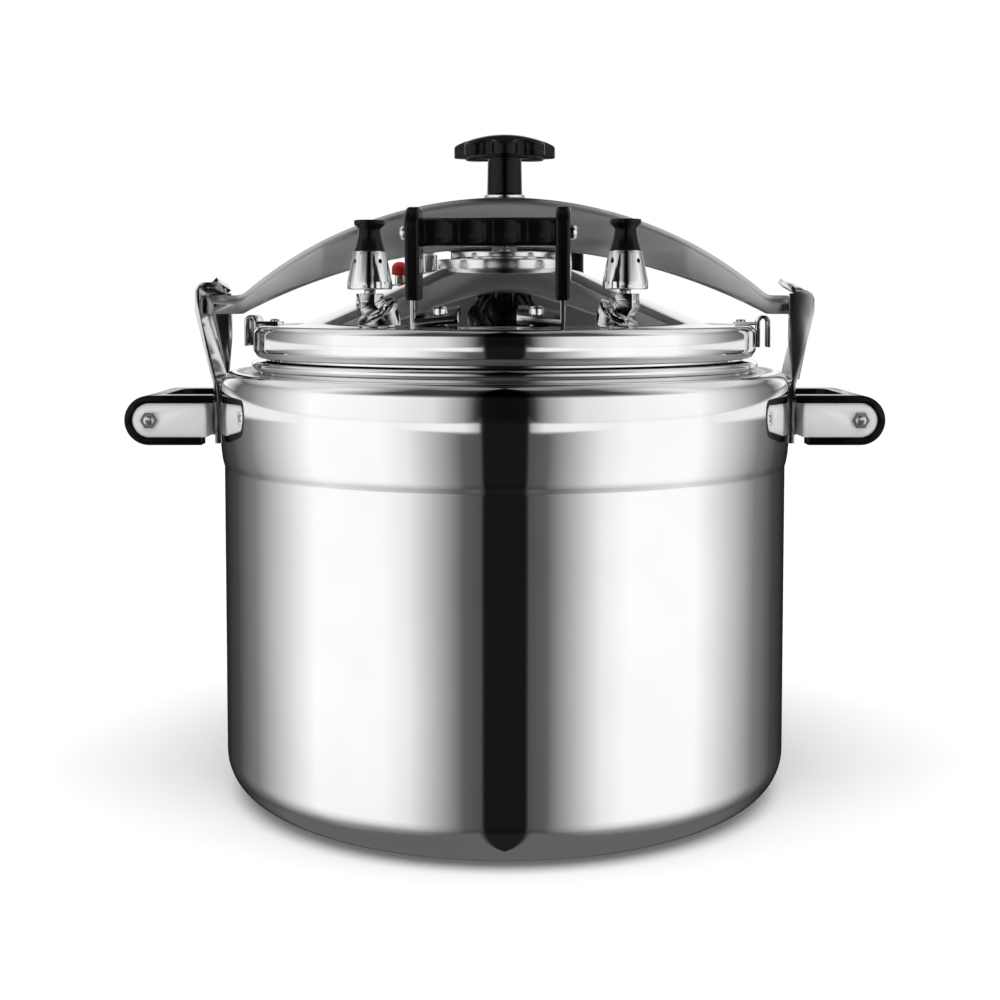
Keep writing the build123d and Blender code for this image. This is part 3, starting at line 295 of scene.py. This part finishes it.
arm_web = 22                    # the web's outer face, measured across from the arm's middle
arm_root = 186                  # nearer to the pot's axis than this is the hook's lip
lean_foot = 262                 # the fold is sharp below this height
fold_round = 4.5
for side, way in (("right", 1), ("left", -1)):
    arm = welded("hook_arm_" + side, 0)
    web_face = -arm_web * MM * way
    folded = [edge for edge in arm.edges
              if sharp_edge(edge)
              and all(abs(corner.co.y - web_face) < 0.05 * MM for corner in edge.verts)
              and min(abs(corner.co.x) for corner in edge.verts) > arm_root * MM
              and max(corner.co.z for corner in edge.verts) > lean_foot * MM
              and any(face.normal.x * way > 0.7 for face in edge.link_faces)]
    bmesh.ops.bevel(arm, geom=folded, offset=fold_round * MM, offset_type="OFFSET", segments=6,
                    profile=0.5, affect="EDGES", material=-1, clamp_overlap=True)
    soften(arm, 0.5)
    finished("hook_arm_" + side + "_finished", arm, ["hook_arm_" + side], polished_steel)


# ---- Side handles ----
# A bent steel bracket carries a moulded black grip, held by one bolt with a flanged, domed head
# through each of its two arms.

def moulded(name, base, light, smooth, rough, grain, grain_depth, shine=0.3):
    """Moulded plastic or rubber with a slight orange-peel skin."""
    made, tree, shader = new_material(name)
    shader.inputs["Specular IOR Level"].default_value = shine
    tints(tree, noise(tree, place(tree), 60, 4), base, light, shader.inputs["Base Color"])
    spread(tree, noise(tree, place(tree), 120, 3), smooth, rough, shader.inputs["Roughness"])
    relief(tree, noise(tree, place(tree), grain, 3), grain_depth, shader)
    return made


bakelite = moulded("bakelite", (0.0018, 0.0018, 0.002), (0.0035, 0.0035, 0.004),
                   smooth=0.07, rough=0.15, grain=650, grain_depth=0.01 * MM, shine=0.2)
satin_plate = metal("satin_plate", (0.84, 0.84, 0.845), (0.93, 0.93, 0.935),
                    smooth=0.42, rough=0.55, marks=900, mark_depth=0.02 * MM)
satin_plate.node_tree.nodes["Principled BSDF"].inputs["Metallic"].default_value = 0.35
for side in ("right", "left"):
    dress("handle_bracket_" + side, satin_plate, edge_round=0.35)
    dress("handle_grip_" + side, bakelite, edge_round=1.2, segments=3)
    dress("handle_bolts_" + side, chrome)


# ---- Gasket ----
# Grey rubber ring in a channel under the lid's rim. The mouth of the pot presses into it when the
# clamp is tightened.

grey_rubber = moulded("grey_rubber", (0.10, 0.10, 0.10), (0.15, 0.15, 0.145),
                      smooth=0.5, rough=0.68, grain=900, grain_depth=0.03 * MM)
dress("lid_gasket", grey_rubber)


# ---- Lid shell ----
# Spun aluminium lid: a turned-down rim, a flat ring, a cone and a flat top with a short socket
# for the clamp's foot. Mirror polished outside, satin under it.

lid_wall = 4.3
under_lid = 292.2
ring_top = under_lid + lid_wall
skirt_inner = neck_radius + 4.2
rim_radius = skirt_inner + lid_wall
skirt_foot = 276.5
taper_top = skirt_foot + 4.5
taper_depth = 2.9               # the skirt's lower edge is turned in
cone_foot = 131.6
dome_top = ring_top + 35.5
dome_top_radius = 46
under_dome = dome_top - lid_wall
stub_radius = 11                # socket for the clamp's foot
stub_top = dome_top + 11.5
socket_radius = 8.6
socket_floor = dome_top + 9.1
rib_outer = 146.5               # rib that keeps the gasket in its channel
rib_inner = rib_outer - 3
rib_foot = under_lid - 4.2
lid = turned([
    (0, socket_floor, 0), (socket_radius, socket_floor, 0), (socket_radius, stub_top, 0),
    (stub_radius, stub_top, 0.5), (stub_radius, dome_top, 0), (dome_top_radius, dome_top, 1.2),
    (cone_foot, ring_top, 4.5), (rim_radius, ring_top, 5), (rim_radius, taper_top, 1.5),
    (rim_radius - taper_depth, skirt_foot, 0.8), (skirt_inner, skirt_foot, 0.5), (skirt_inner, under_lid, 1),
    (rib_outer, under_lid, 0), (rib_outer, rib_foot, 0.6), (rib_inner, rib_foot, 0.6),
    (rib_inner, under_lid, 0), (cone_foot, under_lid, 3), (dome_top_radius, under_dome, 1),
    (0, under_dome, 0)], closed=False, steps=288)
lid_piece = finished("lid_shell_spun", lid, ["lid_shell"], mirror_aluminium)
lid_piece.data.materials.append(satin_aluminium)
for face in lid_piece.data.polygons:
    reach = math.hypot(face.center.x, face.center.y) / MM
    in_skirt = face.center.z / MM < under_lid - 0.2 and reach < skirt_inner + 0.3
    if face.normal.z < -0.5 or in_skirt:
        face.material_index = 1


# ---- Discs on top of the lid ----
# Two turned aluminium discs over the socket spread the clamp's force: a broad base disc and a
# smaller thrust disc on a step, both with the fine rings of a lathe tool on their faces.

turned_aluminium = metal("turned_aluminium", (0.74, 0.745, 0.75), (0.86, 0.862, 0.865),
                         smooth=0.13, rough=0.24, marks=1600, mark_depth=0.01 * MM, round_axis=True)
disc_bore = stub_radius + 0.05
boss_radius = 43.5
boss_top = dome_top + 6.5
finished("boss_disc", turned([
    (disc_bore, dome_top, 0), (boss_radius, dome_top, 0.6), (boss_radius, boss_top, 1.2),
    (disc_bore, boss_top, 0)]),
    ["boss_plate"], turned_aluminium)

step_radius = 28
step_top = boss_top + 1
thrust_radius = 34
thrust_top = boss_top + 4.8
finished("thrust_disc", turned([
    (disc_bore, boss_top, 0), (step_radius, boss_top, 0), (step_radius, step_top, 0),
    (thrust_radius, step_top, 0.6), (thrust_radius, thrust_top, 1), (disc_bore, thrust_top, 0)]),
    ["thrust_plate"], turned_aluminium)


# ---- Rim clips ----
# Bent steel strips riveted on the lid's flat ring at each side. Each rolls over the rim and comes
# down as two legs, one on the rim and one standing off it.

for side in ("right", "left"):
    dress("rim_clip_" + side, polished_steel, edge_round=0.3)
dress("clip_rivets", chrome)


# ---- Lid handles ----
# Two moulded cheeks on steel feet hold a grooved bar. A through bolt clamps the cheeks to the bar
# and a screw holds each foot to the cone.

for end in ("front", "rear"):
    dress("lid_handle_feet_" + end, polished_steel, edge_round=0.3)
    dress("lid_handle_cheeks_" + end, bakelite, edge_round=0.3)
    dress("lid_handle_grip_" + end, bakelite, edge_round=0.3)
    dress("lid_handle_bolt_" + end, chrome)
    dress("lid_handle_screws_" + end, chrome)


# ---- Vent pipes and regulator weights ----
# A vent pipe on each side carries a turned aluminium weight with four steam holes and a waisted
# black cap. Below the lid are a seal, a nut and a slotted guard.

for side in ("right", "left"):
    dress("vent_pipe_" + side, chrome, edge_round=0.3)
    dress("vent_guard_" + side, turned_aluminium, edge_round=0.2)
    dress("vent_seal_" + side, grey_rubber)
    dress("vent_nut_" + side, turned_aluminium, edge_round=0.3)
    dress("weight_body_" + side, chrome, edge_round=0.2)
    dress("weight_cap_" + side, bakelite, edge_round=0.2)


# ---- Safety plug and pressure indicator ----
# A red rubber cap blows off its stem if both vents are blocked. Beside it, a pin rises in a small
# housing when there is pressure under the lid.

red_rubber = moulded("red_rubber", (0.42, 0.012, 0.012), (0.55, 0.02, 0.018),
                     smooth=0.35, rough=0.5, grain=800, grain_depth=0.02 * MM, shine=0.45)
dress("safety_plug", chrome, edge_round=0.3)
dress("safety_plug_cap", red_rubber, edge_round=0.3)
dress("safety_plug_seal", grey_rubber)
dress("safety_plug_nut", chrome, edge_round=0.3)
dress("float_housing", chrome, edge_round=0.3)
dress("float_seal", grey_rubber)
dress("float_nut", chrome, edge_round=0.3)
dress("float_pin", chrome, edge_round=0.2)


# ---- Clamping beam ----
# Arched steel pressing, open below, with a tongue at each end and a threaded bush in the middle.
# Brushed along its length.

brushed_steel = metal("brushed_steel", (0.70, 0.705, 0.71), (0.82, 0.822, 0.825),
                      smooth=0.38, rough=0.48, marks=700, mark_depth=0.01 * MM, stretch=(0.05, 1, 1))
dress("clamp_beam", brushed_steel, edge_round=0.6)
dress("beam_nut", chrome, edge_round=0.2)


# ---- Clamp screw, foot and star knob ----
# The steel screw turns in the bush and presses on the lid through a swivel foot held by a snap
# ring. Its upper end is moulded into an eight-lobed knob.

dress("clamp_screw", chrome, edge_round=0.2)
dress("screw_foot", chrome, edge_round=0.2)
dress("foot_ring", chrome)
dress("star_knob", bakelite, edge_round=0.4)


# ---- Studio ----
# Pale floor, wide soft boxes at both sides, a narrow black card behind the camera and a darker
# surround overhead and below, so that the mirror finish has something to show.

bpy.ops.mesh.primitive_circle_add(vertices=96, radius=6, fill_type="NGON")
floor = bpy.context.object
floor.name = "studio_floor"
floor_finish, floor_tree, floor_shader = new_material("floor_paper")
tints(floor_tree, noise(floor_tree, place(floor_tree), 3, 3), (0.86, 0.86, 0.86), (0.88, 0.88, 0.88),
      floor_shader.inputs["Base Color"])
floor_shader.inputs["Roughness"].default_value = 0.9
floor_shader.inputs["Specular IOR Level"].default_value = 0.1
floor.data.materials.append(floor_finish)
floor.visible_glossy = False

world = bpy.data.worlds.new("studio")
bpy.context.scene.world = world
world.use_nodes = True
sky = world.node_tree
sky.nodes.clear()


def sky_math(operation, first, second=None):
    """One step of arithmetic on the direction a ray leaves in."""
    node = sky.nodes.new("ShaderNodeMath")
    node.operation = operation
    for socket, value in zip(node.inputs, (first, second)):
        if value is None:
            continue
        if isinstance(value, (int, float)):
            socket.default_value = value
        else:
            sky.links.new(value, socket)
    return node.outputs[0]


def sky_ramp(factor, lowest, stops):
    """Brightness that changes smoothly between stops, each of them an angle in degrees and how
    bright it is there. The angles run over half a turn from the lowest."""
    node = sky.nodes.new("ShaderNodeValToRGB")
    ramp = node.color_ramp
    while len(ramp.elements) < len(stops):
        ramp.elements.new(0.5)
    for element, (angle, bright) in zip(ramp.elements, stops):
        element.position = (angle - lowest) / 180
        element.color = (bright, bright, bright, 1)
    sky.links.new(factor, node.inputs["Fac"])
    return node.outputs["Color"]


direction = sky.nodes.new("ShaderNodeSeparateXYZ")
sky.links.new(sky.nodes.new("ShaderNodeTexCoord").outputs["Generated"], direction.inputs[0])
towards_front = sky_math("MULTIPLY", direction.outputs["Y"], -1)
turn = sky_math("ABSOLUTE", sky_math("ARCTAN2", direction.outputs["X"], towards_front))
bearing = sky_math("DIVIDE", turn, math.pi)
tilt = sky_math("ARCSINE", direction.outputs["Z"])
rise = sky_math("ADD", sky_math("DIVIDE", tilt, math.pi), 0.5)


def around(stops):
    """Brightness by the angle from straight ahead to right behind, the same on both sides."""
    return sky_ramp(bearing, 0, stops)


def upward(stops):
    """Brightness by the angle above or below level."""
    return sky_ramp(rise, -90, stops)


def both(first, second):
    """Product of two brightnesses."""
    return sky_math("MULTIPLY", first, second)


def brighter(first, second):
    """The larger of two brightnesses."""
    return sky_math("MAXIMUM", first, second)


soft_boxes = both(
    around([(0, 0.009), (8.3, 0.009), (8.8, 0.08), (16, 0.12), (27, 0.50), (38, 0.92), (49, 1.08),
            (80, 1.08), (98, 0.66), (118, 0.22), (137, 0.065), (156, 0.022), (180, 0.012)]),
    upward([(-90, 0.10), (-50, 0.13), (-40, 0.30), (-32, 0.66), (-23, 0.95), (-17, 1.0), (-1, 1.0),
            (4, 0), (90, 0)]))
box_tops = around([(0, 0.004), (8.3, 0.006), (11, 0.05), (16, 0.34), (27, 0.80), (38, 0.90), (49, 1.0),
                   (80, 1.08), (98, 0.68), (118, 0.28), (137, 0.09), (156, 0.04), (180, 0.03)])
front_tops = upward([(-90, 0), (-4, 0), (0, 1.0), (18, 1.0), (26, 0.30), (34, 0.06), (66, 0.06),
                     (76, 0.25), (90, 0.25)])
side_tops = both(
    around([(0, 0), (50, 0), (88, 1.0), (180, 1.0)]),
    upward([(-90, 0), (-4, 0), (0, 1.0), (50, 1.0), (62, 0.4), (74, 0.08), (90, 0.08)]))
table = both(
    around([(0, 0.1), (8.3, 0.1), (11, 1.0), (180, 1.0)]),
    upward([(-90, 0.13), (-40, 0.13), (-22, 0), (90, 0)]))
level_strip = both(
    around([(0, 0), (8.6, 0), (10, 0.5), (15, 0.9), (23, 1.0), (135, 0.9), (155, 0.35), (180, 0.1)]),
    upward([(-90, 0), (-3.8, 0), (-2.8, 1.0), (-0.7, 1.0), (0.3, 0), (90, 0)]))
backdrop = both(
    around([(0, 0), (130, 0), (150, 1.0), (180, 1.0)]),
    upward([(-90, 0), (0, 0), (1, 1.0), (14, 0.9), (22, 0), (90, 0)]))
rear_ceiling = both(
    around([(0, 0), (60, 0), (100, 1.0), (148, 1.0), (166, 0.08), (180, 0.04)]),
    upward([(-90, 0), (16, 0), (32, 0.75), (50, 0.8), (73, 0.3), (90, 0.2)]))
lit = soft_boxes
for glow in (both(box_tops, brighter(front_tops, side_tops)), table, level_strip, backdrop, rear_ceiling):
    lit = brighter(lit, glow)

paper = sky.nodes.new("ShaderNodeBackground")
paper.inputs["Color"].default_value = (1, 1, 1, 1)
boxes = sky.nodes.new("ShaderNodeBackground")
sky.links.new(lit, boxes.inputs["Color"])
chosen = sky.nodes.new("ShaderNodeMixShader")
sky.links.new(sky.nodes.new("ShaderNodeLightPath").outputs["Is Camera Ray"], chosen.inputs["Fac"])
sky.links.new(boxes.outputs[0], chosen.inputs[1])
sky.links.new(paper.outputs[0], chosen.inputs[2])
sky.links.new(chosen.outputs[0], sky.nodes.new("ShaderNodeOutputWorld").inputs["Surface"])

soft_light = bpy.data.lights.new("overhead_soft_box", "SUN")
soft_light.angle = math.radians(60)
soft_light.energy = 3.0
overhead = bpy.data.objects.new("overhead_soft_box", soft_light)
overhead.rotation_euler = (math.radians(20), 0, 0)
overhead.visible_glossy = False
overhead.visible_camera = False
bpy.context.scene.collection.objects.link(overhead)

lens = bpy.data.cameras.new("camera")
lens.lens = 54.86
lens.sensor_width = 36
lens.shift_y = -0.114
lens.clip_start = 0.01
camera = bpy.data.objects.new("camera", lens)
camera.location = (-0.003, -0.992, 0.3137)
camera.rotation_euler = (math.radians(86.7), 0, 0)
bpy.context.scene.collection.objects.link(camera)
bpy.context.scene.camera = camera
bpy.context.scene.view_settings.view_transform = "Standard"
